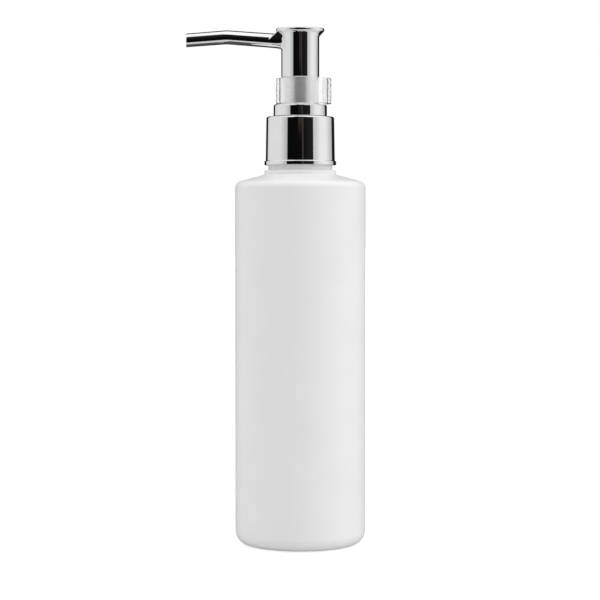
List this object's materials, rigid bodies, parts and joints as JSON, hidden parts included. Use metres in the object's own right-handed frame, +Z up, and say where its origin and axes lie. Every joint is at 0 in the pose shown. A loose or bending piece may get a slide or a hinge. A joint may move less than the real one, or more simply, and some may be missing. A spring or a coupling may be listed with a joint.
{
  "type": "pump bottle",
  "caption": "Tall white cylinder bottle with a bright screw-on lotion pump, long spout and clear lock clip.",
  "frame": {"origin": "on the bottle's axis, in the plane of the flat base that it stands on", "axes": "+Z up along the bottle's axis, -X along the spout at rest, -Y towards the closed front of the lock clip"},
  "size_m": [0.0714, 0.052, 0.2057],
  "materials": {
    "bottle_plastic": "satin",
    "white_plastic": "satin",
    "natural_plastic": "satin",
    "foam": "matte",
    "bright_metal": "polished",
    "bright_plating": "polished",
    "satin_metal": "satin",
    "clear_plastic": "gloss",
    "steel": "satin"
  },
  "bodies": {
    "bottle": {"bottle": "bottle_plastic"},
    "pump": {"gasket": "foam", "housing": "natural_plastic", "chaplet": "white_plastic", "chaplet_ring": "bright_metal", "dip_tube": "natural_plastic", "spring": "steel"},
    "closure": {"closure": "white_plastic", "closure_shell": "bright_metal"},
    "plunger": {"stem": "white_plastic", "piston_rod": "white_plastic"},
    "piston": {"piston": "natural_plastic"},
    "ball": {"ball": "steel"},
    "head": {"actuator_head": "bright_plating", "actuator_core": "natural_plastic", "sleeve": "satin_metal", "spout_liner": "natural_plastic"},
    "clip": {"lock_clip": "clear_plastic"}
  },
  "joints": [
    {"name": "pump_lift", "type": "slide", "parent": "bottle", "child": "pump", "axis": [0, 0, 1], "range_m": [0, 0.00635]},
    {"name": "closure_turn", "type": "hinge", "parent": "pump", "child": "closure", "pos_m": [0, 0, 0.16394], "axis": [0, 0, 1], "range_deg": [0, 720]},
    {"name": "head_press", "type": "slide", "parent": "pump", "child": "plunger", "axis": [0, 0, -1], "range_m": [0, 0.0094], "stiffness_N_per_m": 500, "springref_m": -0.01, "deforming": ["spring"]},
    {"name": "head_swivel", "type": "hinge", "parent": "plunger", "child": "head", "pos_m": [0, 0, 0.18604], "axis": [0, 0, 1], "continuous": true},
    {"name": "piston_lag", "type": "slide", "parent": "plunger", "child": "piston", "axis": [0, 0, 1], "range_m": [0, 0.0008]},
    {"name": "ball_lift", "type": "slide", "parent": "pump", "child": "ball", "axis": [0, 0, 1], "range_m": [0, 0.0015]},
    {"name": "clip_pull", "type": "slide", "parent": "pump", "child": "clip", "axis": [-0.2639, -0.9646, 0], "range_m": [0, 0.045]}
  ],
  "couplings": [
    {"joint": "closure_turn", "follows": "pump_lift", "rad_per_m": 1979}
  ]
}
